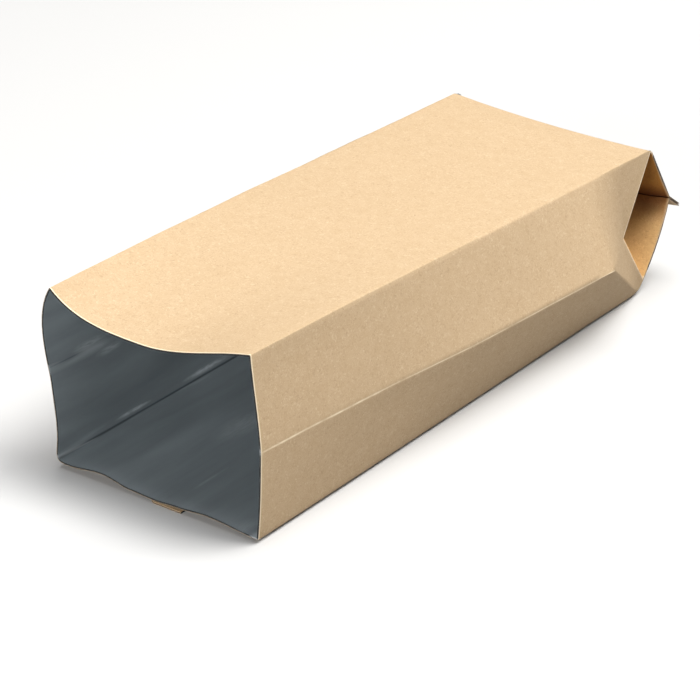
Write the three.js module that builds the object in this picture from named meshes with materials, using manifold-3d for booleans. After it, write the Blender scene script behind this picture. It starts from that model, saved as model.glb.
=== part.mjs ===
// Kraft paper coffee bag with side gussets, open at the mouth, lying on its back panel.
// Millimetres, +Z up. X runs across the bag, Y along it: the mouth is at the -Y end and the
// sealed, folded bottom at the +Y end. One laminated web makes the whole bag: kraft paper
// outside, a grey film inside. The walls here are thicker than the real laminate.

import * as THREE from 'three';
import { mergeVertices } from 'three/addons/utils/BufferGeometryUtils.js';
import { ConvexGeometry } from 'three/addons/geometries/ConvexGeometry.js';
import Module from 'manifold-3d';

const wasm = await Module();
wasm.setup();

// The flat bag as it is made
const PANEL = 80;              // width of the front and back panels
const HALF_GUSSET = 30;        // a side gusset is two of these, with a crease between them
const SEAL_BAND = 8.3;         // length of the cross seal at the bottom
const HALF = PANEL / 2;

// Walls
const PAPER = 0.7;             // kraft wall
const LAYER_GAP = 0.3;         // clearance between the paper and its lining
const FILM = 0.5;              // lining wall
const POCKET_WALL = 1.2;       // a flap with the gusset paper lying flat against its inside

// The open bag as it lies
const MOUTH_TOP = 60.8;        // height of the front panel's long edges at the mouth
const FOLD_TOP = 53.8;         // height of the same edges at the bottom fold
const TAPER_POWER = 1.5;       // the front falls faster towards the bottom
const LEAN = { mouth: -0.4, fold: 0.8 };   // the front is this much lower at +X, higher at -X
const BACK_REST = 1.2;         // the back panel's long edges, held off the floor by the back seal
const BACK_ARCH = 1.0;         // the panel rises this much between them
const MOUTH_ARCH = 1.7;        // and this much at the mouth, where
const SEAM_DIP = 2.5;          // it dips again to the back seal's root
const SEAM_SPREAD = 14;        // how far to each side the dip is felt
const MOUTH_LIFT = 0.8;        // the mouth's -X corner is this much off the line of the edge
const CREASE_LEVEL = 0.47;     // height of the gusset crease, as a share of the bag's height
const FRONT_FOLD_Y = 214.9;    // where the front panel folds down to the seal
const BACK_ROUND_Y = 204;      // where the back panel starts to curl up
const BACK_FOLD_Y = 211.5;     // where that curl ends
const BACK_FOLD_Z = 2.4;
const SEAL_Y = 228.8;          // the cross seal, at its two ends
const SEAL_Z = 30.3;
const SEAL_THICK = 1.2;        // four layers of web, measured upright
const FLAP_BOW_Y = 223.7;      // control point of the bowed back flap
const FLAP_BOW_Z = 14.5;
const TIP_Y = 235.5;           // free end of the seal band, which points out and down
const TIP_Z = SEAL_Z - Math.sqrt(SEAL_BAND ** 2 - (TIP_Y - SEAL_Y) ** 2);
const SEAL_RECESS = 4.5;       // the seal runs back towards the mouth in the middle
const SEAL_DIP = 1.2;          // and hangs this much lower there

// Where the gusset folds in at the bottom
const CREASE_END_Y = 176.5;    // the gusset's centre crease splits here
const NOTCH = { out: 2.0, y: 195.9, z: 27.4 };   // the mouth-side corner of the side pocket
const BACK_CORNER_Y = 209.5;   // where the facet under the pocket starts from the back panel
const POCKET_CORNER_Y = 213.8; // where the pocket's lower edge meets the back flap
const SEAL_INNER_X = 11;       // the gusset crease at the seal, half a gusset in from the edge
const GUSSET_FACING = 0.68;    // how squarely the folded-in gusset faces the mouth

// Cut edge of the mouth, as x and z: the front panel sags, the left gusset bows
const MOUTH_CORNERS = { right: [37.5, 61.2], left: [-38.9, 60.3] };
const SAG_LOW = [-4, 51.3];
const SAG_RIGHT = [MOUTH_CORNERS.right, [26, 58.6], [8, 52.6], SAG_LOW];
const SAG_LEFT = [SAG_LOW, [-22, 53.5], [-31.5, 53.5], MOUTH_CORNERS.left];
const EDGE_LEFT_UPPER = [MOUTH_CORNERS.left, [-44, 53.5], [-43.2, 43], [-40.6, 30]];
const EDGE_LEFT_LOWER = [[-40.6, 30], [-39.0, 21], [-38.0, 11], [-39.0, BACK_REST + MOUTH_LIFT]];
const EDGE_RIGHT_LOWER = [[39.4, BACK_REST], [39.4, 10], [40.3, 20], [40.3, 30]];
const EDGE_RIGHT_UPPER = [[40.3, 30], [40, 42], [38.3, 50], MOUTH_CORNERS.right];
const MOUTH_REACH = 130;       // how far in from the mouth the cut edge's shape is felt

// Back seal: a strip of web folded flat under the back panel
const STRIP_ROOT_X = -1.5;
const STRIP_FREE_X = 10;
const STRIP_THICK = 0.7;
const STRIP_BITE = 0.35;       // how deep the strip is set into the back panel
const STRIP_LIFT_Y = 184;      // from here it leaves the floor for the curling panel
const SLOPE_STEP = 0.5;        // stretch over which the panel's slope is read
const STRIP_CORNERS = 6;

// How finely each stretch is divided
const STEPS = { front: 14, back: 8, halfGusset: 4, notch: 1, facet: 2 };
const STATIONS = [0, 5, 12, 20, 30, 42, 56, 72, 90, 110, 133, 157, CREASE_END_Y, 187, NOTCH.y,
  200, BACK_ROUND_Y, 207, BACK_CORNER_Y, BACK_FOLD_Y, POCKET_CORNER_Y, FRONT_FOLD_Y, 218, 222, 225.5,
  SEAL_Y, TIP_Y];
const PASS_MOUTH = 5;          // how far a cutter runs out through the mouth

const mix = (a, b, t) => a + (b - a) * t;
const mixPoint = (a, b, t) => a.map((value, i) => mix(value, b[i], t));
const clamp01 = (t) => Math.min(1, Math.max(0, t));
const share = (y, from, to) => clamp01((y - from) / (to - from));
const smooth = (t) => t * t * (3 - 2 * t);

function bezier([a, b, c, d], t) {
  const s = 1 - t;
  return [0, 1].map((i) => s ** 3 * a[i] + 3 * s * s * t * b[i] + 3 * s * t * t * c[i] + t ** 3 * d[i]);
}

// Height of a quadratic curve from (y0, z0) to (y2, z2) at a given y
function bowHeight(y, [y0, z0], [y1, z1], [y2, z2]) {
  const a = y0 - 2 * y1 + y2;
  const b = 2 * (y1 - y0);
  const c = y0 - y;
  const t = Math.abs(a) < 1e-9 ? -c / b : (-b + Math.sqrt(Math.max(0, b * b - 4 * a * c))) / (2 * a);
  return (1 - t) ** 2 * z0 + 2 * t * (1 - t) * z1 + t * t * z2;
}

// Height of the front panel's long edge; side is +1 at +X and -1 at -X
function frontEdge(y, side) {
  const sealTop = SEAL_Z + SEAL_THICK / 2;
  if (y > SEAL_Y) return mix(sealTop, TIP_Z + SEAL_THICK / 2, share(y, SEAL_Y, TIP_Y));
  const along = share(y, 0, FRONT_FOLD_Y) ** TAPER_POWER;
  const edge = mix(MOUTH_TOP, FOLD_TOP, along) - side * mix(LEAN.mouth, LEAN.fold, along);
  return mix(edge, sealTop, share(y, FRONT_FOLD_Y, SEAL_Y));
}

// Height of the back panel's long edge, with the curl and the bowed flap at the bottom end
function backEdge(y) {
  const sealUnder = SEAL_Z - SEAL_THICK / 2;
  if (y > SEAL_Y) return mix(sealUnder, TIP_Z - SEAL_THICK / 2, share(y, SEAL_Y, TIP_Y));
  if (y > BACK_FOLD_Y) {
    return bowHeight(y, [BACK_FOLD_Y, BACK_FOLD_Z], [FLAP_BOW_Y, FLAP_BOW_Z], [SEAL_Y, sealUnder]);
  }
  return bowHeight(Math.max(y, BACK_ROUND_Y), [BACK_ROUND_Y, BACK_REST],
    [(BACK_ROUND_Y + BACK_FOLD_Y) / 2 + 1.5, BACK_REST], [BACK_FOLD_Y, BACK_FOLD_Z]);
}

// The gusset crease bulges by what its two halves need to span the bag's height
function crease(y) {
  const top = (frontEdge(y, 1) + frontEdge(y, -1)) / 2;
  const bottom = backEdge(y);
  const bulge = Math.sqrt(Math.max(0, HALF_GUSSET ** 2 - ((top - bottom) / 2) ** 2));
  return [HALF + bulge, y, mix(bottom, top, CREASE_LEVEL)];
}

const creaseEnd = crease(CREASE_END_Y);
const notch = [HALF + NOTCH.out, NOTCH.y, NOTCH.z];
const frontCorner = (side) => [HALF, FRONT_FOLD_Y, frontEdge(FRONT_FOLD_Y, side)];
const backCorner = [HALF, BACK_CORNER_Y, backEdge(BACK_CORNER_Y)];
const pocketCorner = [HALF, POCKET_CORNER_Y, backEdge(POCKET_CORNER_Y)];
const between = (a, b, y) => mixPoint(a, b, share(y, a[1], b[1]));

// Three lines run along each gusset. Up to the crease's end they are one; from there the crease
// splits, first round the facet and then round the pocket.
function gussetLines(y, side) {
  const front = [HALF, y, frontEdge(y, side)];
  const back = [HALF, y, backEdge(y)];
  const ridge = y <= CREASE_END_Y ? crease(y) : between(creaseEnd, notch, y);
  const upper = y <= NOTCH.y ? ridge : y <= FRONT_FOLD_Y ? between(notch, frontCorner(side), y) : front;
  const lower = y <= NOTCH.y ? ridge : y <= POCKET_CORNER_Y ? between(notch, pocketCorner, y) : back;
  const facet = y <= CREASE_END_Y ? ridge : y <= BACK_CORNER_Y ? between(creaseEnd, backCorner, y) : back;
  return { front, upper, lower, facet, back };
}

// One ring round the bag at a station along it, starting at the +X front edge
function ring(station) {
  const y = Math.max(0, station);
  const mouth = (1 - share(y, 0, MOUTH_REACH)) ** 2;
  const points = [];
  const add = (regular, cut) => points.push([
    mix(regular[0], cut[0], mouth), regular[1], mix(regular[2], cut[1], mouth)]);
  const right = gussetLines(y, 1);
  const left = gussetLines(y, -1);
  const mirror = ([x, py, z]) => [-x, py, z];

  for (let i = 0; i < STEPS.front; i += 1) {
    const t = i / STEPS.front;
    const cut = t < 0.5 ? bezier(SAG_RIGHT, 2 * t) : bezier(SAG_LEFT, 2 * t - 1);
    add(mixPoint(right.front, mirror(left.front), t), cut);
  }
  const span = (from, to, steps, edge, t0, t1) => {
    for (let i = 0; i < steps; i += 1) {
      const t = i / steps;
      add(mixPoint(from, to, t), bezier(edge, mix(t0, t1, t)));
    }
  };
  span(mirror(left.front), mirror(left.upper), STEPS.halfGusset, EDGE_LEFT_UPPER, 0, 1);
  span(mirror(left.upper), mirror(left.lower), STEPS.notch, EDGE_LEFT_UPPER, 1, 1);
  span(mirror(left.lower), mirror(left.facet), STEPS.facet, EDGE_LEFT_UPPER, 1, 1);
  span(mirror(left.facet), mirror(left.back), STEPS.halfGusset, EDGE_LEFT_LOWER, 0, 1);
  for (let i = 0; i < STEPS.back; i += 1) {
    const t = i / STEPS.back;
    const [x, py, z] = mixPoint(mirror(left.back), right.back, t);
    const arched = [x, py, z + archOver(x, y)];
    const cutX = mix(EDGE_LEFT_LOWER[3][0], EDGE_RIGHT_LOWER[0][0], t);
    add(arched, [cutX, BACK_REST + archOver(x, y)]);
  }
  span(right.back, right.facet, STEPS.halfGusset, EDGE_RIGHT_LOWER, 0, 1);
  span(right.facet, right.lower, STEPS.facet, EDGE_RIGHT_UPPER, 0, 0);
  span(right.lower, right.upper, STEPS.notch, EDGE_RIGHT_UPPER, 0, 0);
  span(right.upper, right.front, STEPS.halfGusset, EDGE_RIGHT_UPPER, 0, 1);
  return points.map(([x, py, z]) => bendSeal(x, station < 0 ? station : py, z));
}

// How far the back panel stands above its long edges
function archOver(x, y) {
  const mouth = (1 - share(y, 0, MOUTH_REACH)) ** 2;
  const across = 1 - (x / HALF) ** 2;
  const dip = SEAM_DIP * Math.exp(-(((x - STRIP_ROOT_X) / SEAM_SPREAD) ** 2)) * across;
  const lift = MOUTH_LIFT * (HALF - x) / PANEL;
  const arch = mix(BACK_ARCH, MOUTH_ARCH, mouth) * across + (lift - dip) * mouth;
  return arch * (1 - share(y, BACK_ROUND_Y, BACK_FOLD_Y));
}

// The bottom seal is a shallow curve across the bag, and the flaps bend with it
function bendSeal(x, y, z) {
  const amount = smooth(share(y, BACK_ROUND_Y, SEAL_Y)) * Math.max(0, 1 - (x / HALF) ** 2);
  return [x, y - SEAL_RECESS * amount, z - SEAL_DIP * amount];
}

function weld(positions) {
  const geometry = new THREE.BufferGeometry();
  geometry.setAttribute('position', new THREE.Float32BufferAttribute(positions, 3));
  return mergeVertices(geometry, 1e-4);
}

function solidOf(geometry) {
  const index = Array.from(geometry.index.array);
  const triangles = [];
  for (let i = 0; i < index.length; i += 3) {
    const [a, b, c] = index.slice(i, i + 3);
    if (a !== b && b !== c && c !== a) triangles.push(a, b, c);
  }
  return new wasm.Manifold(new wasm.Mesh({
    numProp: 3,
    vertProperties: new Float32Array(geometry.attributes.position.array),
    triVerts: new Uint32Array(triangles),
  }));
}

// Triangles of the skin over a row of rings, closed by a fan at each end
function skin(rings, capped) {
  const positions = [];
  const face = (a, b, c) => positions.push(...a, ...b, ...c);
  for (let i = 0; i + 1 < rings.length; i += 1) {
    const near = rings[i];
    const far = rings[i + 1];
    near.forEach((point, j) => {
      const k = (j + 1) % near.length;
      face(point, far[j], near[k]);
      face(near[k], far[j], far[k]);
    });
  }
  if (capped) {
    cap(rings[0], false, face);
    cap(rings[rings.length - 1], true, face);
  }
  return positions;
}

// Closes a ring: a flat one as a polygon, the curved edge of the seal by pairing its two sides
function cap(loop, far, face) {
  const flat = loop.every((p) => Math.abs(p[1] - loop[0][1]) < 1e-6) || loop.length === STRIP_CORNERS;
  const shape = loop.map(([x, , z]) => new THREE.Vector2(x, z));
  const corners = flat ? THREE.ShapeUtils.triangulateShape(shape, []) : pairRows(loop);
  corners.forEach(([a, b, c]) => {
    const turn = shape[b].clone().sub(shape[a]).cross(shape[c].clone().sub(shape[a])) > 0;
    if (turn === far) face(loop[a], loop[c], loop[b]);
    else face(loop[a], loop[b], loop[c]);
  });
}

function pairRows(loop) {
  const triangles = [];
  let upper = 0;
  let lower = loop.length;
  while (upper < STEPS.front || lower > STEPS.front) {
    const nextUpper = upper < STEPS.front ? loop[upper + 1][0] : -Infinity;
    const nextLower = lower > STEPS.front ? loop[lower - 1][0] : -Infinity;
    const from = [upper, lower % loop.length];
    if (nextUpper > nextLower) upper += 1;
    else lower -= 1;
    triangles.push([...from, nextUpper > nextLower ? upper : lower]);
  }
  return triangles.filter(([a, b, c]) => a !== b && b !== c && c !== a);
}

// Moves every ring point in from the outer face, so that each wall keeps its thickness
function inset(rings, depth) {
  const normalsAt = new Map();
  const key = (p) => p.map((value) => Math.round(value * 2000)).join(',');
  const positions = skin(rings, false);
  for (let i = 0; i < positions.length; i += 9) {
    const corners = [0, 3, 6].map((k) => positions.slice(i + k, i + k + 3));
    const [a, b, c] = corners.map((p) => new THREE.Vector3(...p));
    const normal = b.clone().sub(a).cross(c.clone().sub(a));
    if (normal.length() < 1e-3) continue;
    normal.normalize();
    corners.forEach((p) => {
      const name = key(p);
      if (!normalsAt.has(name)) normalsAt.set(name, []);
      normalsAt.get(name).push(normal);
    });
  }
  return rings.map((points) => points.map((p) => {
    const normals = normalsAt.get(key(p));
    const matrix = new THREE.Matrix3();
    const sum = Array(9).fill(0);
    const target = new THREE.Vector3();
    normals.forEach((n) => {
      const v = n.toArray();
      for (let r = 0; r < 3; r += 1) for (let c = 0; c < 3; c += 1) sum[3 * r + c] += v[r] * v[c];
      target.add(n);
    });
    for (let r = 0; r < 3; r += 1) sum[4 * r] += 0.01 * normals.length;
    matrix.set(...sum).invert();
    const move = target.applyMatrix3(matrix).multiplyScalar(depth);
    return [p[0] - move.x, p[1] - move.y, p[2] - move.z];
  }));
}

// The bag's outer form as one solid, or the form inside its wall when a depth is given
function bagForm(depth, throughMouth) {
  const end = depth > 0 ? SEAL_Y - 1.3 * (depth + 0.5) : TIP_Y;
  const stations = STATIONS.filter((y) => y < end - 0.5);
  const rings = [...stations, end].map(ring);
  if (depth > 0) {
    const beyond = ring(end + 0.4);
    const moved = inset([...rings, beyond], depth);
    moved.pop();
    moved.forEach((points, i) => { rings[i] = points; });
    rings[0] = rings[0].map(([x, , z]) => [x, 0, z]);
    const last = rings.pop();
    const nearest = Math.min(...last.map((p) => p[1]));
    rings.push(last.map(([x, , z]) => [x, nearest, z]));
  }
  if (throughMouth) rings.unshift(rings[0].map(([x, , z]) => [x, -PASS_MOUTH, z]));
  return solidOf(weld(skin(rings, true)));
}

// Seal end of the bag at a given x, on the line where the flaps meet
function sealPoint(x) {
  return bendSeal(x, SEAL_Y, SEAL_Z);
}

function convex(points) {
  const geometry = new ConvexGeometry(points.map((p) => new THREE.Vector3(...p)));
  geometry.deleteAttribute('normal');
  return solidOf(mergeVertices(geometry, 1e-4));
}

// A pocket's section at the bag's side, run out past the bulging gusset, and its point inside
function pocketHull(side, section, inner) {
  const outer = section.flatMap(([x, y, z]) => [[x, y, z], [HALF + 20, y, z]]);
  return convex([...outer, ...inner].map(([x, y, z]) => [side * x, y, z]));
}

// The hollow of a side pocket, between the folded-in gusset and the two flaps
function pocketHollow(side) {
  const corner = frontCorner(side);
  const step = 1.1 * POCKET_WALL;
  const inFrom = (from) => mixPoint(from, notch, step / Math.hypot(from[1] - notch[1], from[2] - notch[2]));
  const flap = [215.5, 219, 223].map((y) => [HALF, y - 0.75 * POCKET_WALL, backEdge(y) + 0.7 * POCKET_WALL]);
  const seal = [HALF, SEAL_Y - step, SEAL_Z];
  const [, innerY, innerZ] = sealPoint(SEAL_INNER_X);
  return pocketHull(side, [notch, inFrom(corner), seal, ...flap, inFrom(pocketCorner)],
    [[SEAL_INNER_X, innerY - step, innerZ]]);
}

// How far the plane through three points runs along Y for each millimetre that it rises
function leanOf(...points) {
  const [a, b, c] = points.map((p) => new THREE.Vector3(...p));
  const normal = b.sub(a).cross(c.sub(a));
  return -normal.z / normal.y;
}

// All that lies on the pocket's side of the folded-in gusset, which the inside of the bag can't
// reach. Its two faces are the folded-in gusset's, moved towards the mouth and run on past the flaps.
function pocketBarrier(side, depth) {
  const past = 14;
  const inner = sealPoint(SEAL_INNER_X - depth);
  const front = frontCorner(side);
  const run = (lean, rise) => ([x, y, z]) => [x, y + lean * rise, z + rise];
  const up = run(leanOf(notch, front, inner), past);
  const down = run(leanOf(notch, pocketCorner, inner), -past);
  const toMouth = ([x, y, z]) => [x, y - depth / GUSSET_FACING, z];
  const section = [notch, front, up(front), pocketCorner, down(pocketCorner)].map(toMouth);
  section.push([HALF, SEAL_Y + past, SEAL_Z]);
  return pocketHull(side, section, [inner, up(inner), down(inner)].map(toMouth));
}

// The bag's inside at a depth from its outer face
function insideForm(depth, throughMouth) {
  return [1, -1].reduce((form, side) => form.subtract(pocketBarrier(side, depth)),
    bagForm(depth, throughMouth));
}

// The back seal's strip: a short web down from the back panel, then flat along the floor. At the
// bottom end it closes up against the flap and follows it.
function backSeal() {
  const webX = STRIP_ROOT_X + STRIP_THICK;
  const rings = STATIONS.map((y) => {
    const slope = Math.atan2(backEdge(y + SLOPE_STEP) - backEdge(y), SLOPE_STEP);
    const [ny, nz] = [Math.sin(slope), -Math.cos(slope)];
    const flat = 1 - smooth(share(y, STRIP_LIFT_Y, BACK_FOLD_Y));
    const onPanel = (x, out) => [x, y + ny * out, backEdge(y) + archOver(x, y) + nz * out];
    const onFloor = (x, out, height) => {
      const [, py, z] = onPanel(x, out);
      return [x, py, mix(z, height, flat)];
    };
    return [
      onPanel(STRIP_ROOT_X, -STRIP_BITE),
      onFloor(STRIP_ROOT_X, STRIP_THICK, 0),
      onFloor(STRIP_FREE_X, STRIP_THICK, 0),
      onFloor(STRIP_FREE_X, -STRIP_BITE, STRIP_THICK),
      onFloor(webX, -STRIP_BITE, STRIP_THICK),
      onPanel(webX, -STRIP_BITE),
    ].map((point) => bendSeal(...point));
  });
  return solidOf(weld(skin(rings, true)));
}

function named(name, solid, colour, roughness) {
  const mesh = solid.getMesh();
  const geometry = new THREE.BufferGeometry();
  geometry.setAttribute('position', new THREE.BufferAttribute(new Float32Array(mesh.vertProperties), 3));
  geometry.setIndex(Array.from(mesh.triVerts));
  geometry.computeVertexNormals();
  const material = new THREE.MeshStandardMaterial({ color: colour, roughness, metalness: 0 });
  const part = new THREE.Mesh(geometry, material);
  part.name = name;
  part.position.y = -TIP_Y / 2;
  return part;
}

const hollows = [1, -1].map(pocketHollow);
const outside = hollows.reduce((form, hollow) => form.subtract(hollow), bagForm(0, false).add(backSeal()));
const paper = outside.subtract(insideForm(PAPER, true));
const film = insideForm(PAPER + LAYER_GAP, false).subtract(insideForm(PAPER + LAYER_GAP + FILM, true));

const bag = new THREE.Group();
bag.add(named('kraft_shell', paper, 0xe8c79d, 0.85));
bag.add(named('lining', film, 0x4a5258, 0.4));

export default bag;
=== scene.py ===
import math

import bpy
import numpy as np
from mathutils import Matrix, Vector, noise


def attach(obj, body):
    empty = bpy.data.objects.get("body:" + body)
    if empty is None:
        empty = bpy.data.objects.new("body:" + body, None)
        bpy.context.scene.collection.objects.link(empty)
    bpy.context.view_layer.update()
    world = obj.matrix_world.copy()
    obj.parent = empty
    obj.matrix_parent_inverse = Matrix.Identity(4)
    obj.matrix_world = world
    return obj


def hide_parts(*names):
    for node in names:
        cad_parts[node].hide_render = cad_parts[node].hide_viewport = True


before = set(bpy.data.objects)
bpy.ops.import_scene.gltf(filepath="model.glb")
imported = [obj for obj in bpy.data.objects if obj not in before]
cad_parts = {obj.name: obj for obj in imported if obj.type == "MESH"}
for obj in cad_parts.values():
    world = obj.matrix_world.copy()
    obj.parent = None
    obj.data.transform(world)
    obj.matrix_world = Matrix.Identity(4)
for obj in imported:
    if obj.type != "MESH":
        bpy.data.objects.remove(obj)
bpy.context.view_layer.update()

# -----------------------------------------------------------------------------
# Kraft paper, the outer layer of the bag: brown wood-fibre paper of about 70 g per square metre,
# laminated to a film. One tube of this web has a gusset folded into each side and a seal across
# the bottom, and stands open at the cut mouth. Worn folds and the cut edge show pale fibre, and a
# painted highlight lies on the creases and at the cut.
# -----------------------------------------------------------------------------

# Sizes are in millimetres for the bag as it lies open: x across it, y along it from the cut
# mouth, z up from the floor. A side is 1 at +x and -1 at -x.
PANEL_HALF, GUSSET_HALF = 40.0, 30.0
FRONT_FOLD_Y, SEAL_Y, TIP_Y = 214.9, 228.8, 235.5
SEAL_Z, TIP_Z, SEAL_THICK = 30.3, 25.4, 1.1


def mix(a, b, t):
    return a + (b - a) * t


def share(y, start, end):
    """How far y has come from start to end, held between 0 and 1."""
    return min(1.0, max(0.0, (y - start) / (end - start)))


def smooth(t):
    return t * t * (3 - 2 * t)


def bow_height(y, first, control, last):
    """Height at y of a quadratic curve from first to last, each given as y and z."""
    a = first[0] - 2 * control[0] + last[0]
    b = 2 * (control[0] - first[0])
    c = first[0] - y
    t = -c / b if abs(a) < 1e-9 else (-b + math.sqrt(max(0.0, b * b - 4 * a * c))) / (2 * a)
    return (1 - t) ** 2 * first[1] + 2 * t * (1 - t) * control[1] + t * t * last[1]


# The front panel's long folds come down from the mouth to the bottom fold. They lean a little
# to one side, and turn over the bottom fold in a short curve.
MOUTH_TOP, FOLD_TOP, TAPER_POWER = 60.8, 53.8, 1.5
LEAN_MOUTH, LEAN_FOLD = -0.4, 0.8
TURN_START_Y, TURN_END_Y = FRONT_FOLD_Y - 2.6, FRONT_FOLD_Y + 1.2


def front_edge(y, side):
    """Height of the front panel's long fold, then down its flap and out along the seal."""
    seal_top = SEAL_Z + SEAL_THICK / 2

    def panel(at):
        along = share(at, 0, FRONT_FOLD_Y) ** TAPER_POWER
        return mix(MOUTH_TOP, FOLD_TOP, along) - side * mix(LEAN_MOUTH, LEAN_FOLD, along)

    def flap(at):
        return mix(panel(FRONT_FOLD_Y), seal_top, share(at, FRONT_FOLD_Y, SEAL_Y))

    if y > SEAL_Y:
        return mix(seal_top, TIP_Z + SEAL_THICK / 2, share(y, SEAL_Y, TIP_Y))
    if y <= TURN_START_Y:
        return panel(y)
    if y >= TURN_END_Y:
        return flap(y)
    return bow_height(y, (TURN_START_Y, panel(TURN_START_Y)),
                      (FRONT_FOLD_Y, panel(FRONT_FOLD_Y)), (TURN_END_Y, flap(TURN_END_Y)))


# The back panel rests on the back seal. Its long folds curl up before the back fold, and its
# flap bows out on the way up to the seal.
BACK_REST, BACK_ROUND_Y, BACK_CURL_Y = 1.2, 204.0, 209.25
BACK_FOLD_Y, BACK_FOLD_Z, FLAP_BOW = 211.5, 2.4, (223.7, 14.5)


def back_edge(y):
    """Height of the back panel's long fold, then up its flap and out along the seal."""
    seal_under = SEAL_Z - SEAL_THICK / 2
    if y > SEAL_Y:
        return mix(seal_under, TIP_Z - SEAL_THICK / 2, share(y, SEAL_Y, TIP_Y))
    if y > BACK_FOLD_Y:
        return bow_height(y, (BACK_FOLD_Y, BACK_FOLD_Z), FLAP_BOW, (SEAL_Y, seal_under))
    return bow_height(max(y, BACK_ROUND_Y), (BACK_ROUND_Y, BACK_REST), (BACK_CURL_Y, BACK_REST),
                      (BACK_FOLD_Y, BACK_FOLD_Z))


def back_arch(x, y):
    """How far the back panel stands above its long folds."""
    return (1 - (x / PANEL_HALF) ** 2) * (1 - share(y, BACK_ROUND_Y, BACK_FOLD_Y))


SEAL_RECESS, SEAL_DIP = 4.5, 1.2


def bend_seal(x, y, z):
    """The bottom seal is a shallow curve across the bag, and the flaps bend with it."""
    amount = smooth(share(y, BACK_ROUND_Y, SEAL_Y)) * max(0.0, 1 - (x / PANEL_HALF) ** 2)
    return np.array([x, y - SEAL_RECESS * amount, z - SEAL_DIP * amount])


CREASE_LEVEL = 0.47


def crease(y):
    """The gusset's centre crease stands out by what its two halves need to span the height."""
    top = (front_edge(y, 1) + front_edge(y, -1)) / 2
    bottom = back_edge(y)
    out = math.sqrt(max(0.0, GUSSET_HALF ** 2 - ((top - bottom) / 2) ** 2))
    return np.array([PANEL_HALF + out, y, mix(bottom, top, CREASE_LEVEL)])


# At the bottom each flap is two webs thick. The flaps are pressed thinner as they come to the
# seal, and a narrow slit stays between them. Their slopes are taken just clear of the folds.
FLAP_THICK, PRESSED_FLAP, SEALED_FLAP = 0.7, 0.30, 0.37
PRESS_START_Y, POCKET_CORNER_Y = 222.0, 213.8
FLAP_START_Y, FLAP_END_Y = FRONT_FOLD_Y + 2, SEAL_Y - 0.3


def pressed(y):
    return smooth(share(y, PRESS_START_Y, SEAL_Y))


def slope_of(height, y, step=0.2):
    return (height(y + step) - height(y - step)) / (2 * step)


def flap_inside(y, side):
    """Heights of the front and back flaps' inner faces, each run on straight before its fold."""
    def thick(steep):
        return mix(FLAP_THICK, PRESSED_FLAP, pressed(y)) * math.hypot(1, steep)

    if y >= SEAL_Y:
        return front_edge(y, side) - SEALED_FLAP, back_edge(y) + SEALED_FLAP
    start = FLAP_START_Y
    steep = slope_of(lambda at: front_edge(at, side), min(max(y, start), FLAP_END_Y))
    front = front_edge(max(y, start), side) + steep * min(0.0, y - start) - thick(steep)
    start = POCKET_CORNER_Y
    steep = slope_of(back_edge, min(max(y, start), FLAP_END_Y))
    back = back_edge(max(y, start)) + steep * min(0.0, y - start)
    return front, back + thick(steep)


def between(a, b, y):
    """The point at y on the straight line from a to b."""
    point = mix(a, b, share(y, a[1], b[1]))
    return np.array([point[0], y, point[2]])


def crossing(low, high, above):
    """Where a difference along y changes sign, from positive to negative, by halving."""
    for _ in range(40):
        middle = (low + high) / 2
        low, high = (middle, high) if above(middle) > 0 else (low, middle)
    return (low + high) / 2


# A side pocket opens at the bottom of each gusset. The centre crease ends before it, the notch
# is its innermost point that shows, and its rims run from there to the corners of the two folds.
# Inside it the web is tucked in between the flaps as far as the seal's inner fold.
CREASE_END_Y, BACK_CORNER_Y, SEAL_INNER_X = 174.0, 209.5, 11.0
NOTCH = np.array([42.0, 195.9, 27.4])
CREASE_END = crease(CREASE_END_Y)
BACK_CORNER = np.array([PANEL_HALF, BACK_CORNER_Y, back_edge(BACK_CORNER_Y)])
POCKET_CORNER = np.array([PANEL_HALF, POCKET_CORNER_Y, back_edge(POCKET_CORNER_Y)])


def front_rim_end(side):
    """Where the pocket's upper rim comes to the front flap's inner face."""
    corner = np.array([PANEL_HALF, FRONT_FOLD_Y, FOLD_TOP - side * LEAN_FOLD])
    return crossing(NOTCH[1], FRONT_FOLD_Y,
                    lambda y: flap_inside(y, side)[0] - between(NOTCH, corner, y)[2])


FRONT_RIM_Y = {side: front_rim_end(side) for side in (1, -1)}
BACK_RIM_Y = crossing(NOTCH[1], POCKET_CORNER_Y,
                      lambda y: between(NOTCH, POCKET_CORNER, y)[2] - flap_inside(y, 1)[1])


def stretch(steps, close):
    """Shares along a stretch of web, with one line set close to the fold at each end."""
    return np.concatenate([[0.0], np.linspace(close, 1 - close, steps), [1.0]])


# The stretches of web round one side, from the front fold to the back one, each with its shares
# and its place on the flat gusset. The pocket's webs all lie at the flat crease, so tenths of a
# millimetre keep their lines apart.
GUSSET_STEPS, POCKET_STEPS, FACET_STEPS = stretch(11, 0.055), stretch(6, 0.04), stretch(3, 0.1)
SIDE_STRETCHES = (("gusset", GUSSET_STEPS), ("pocket", POCKET_STEPS), ("wall", POCKET_STEPS),
                  ("wall", POCKET_STEPS), ("pocket", POCKET_STEPS), ("facet", FACET_STEPS),
                  ("gusset", GUSSET_STEPS))
CREASE_FLAT, POCKET_DEEP_FLAT, POCKET_END_FLAT = 30.0, 30.2, 30.4
SIDE_FLATS = (0, CREASE_FLAT, 30.1, POCKET_DEEP_FLAT, 30.3, POCKET_END_FLAT, 30.5, 2 * GUSSET_HALF)


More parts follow.
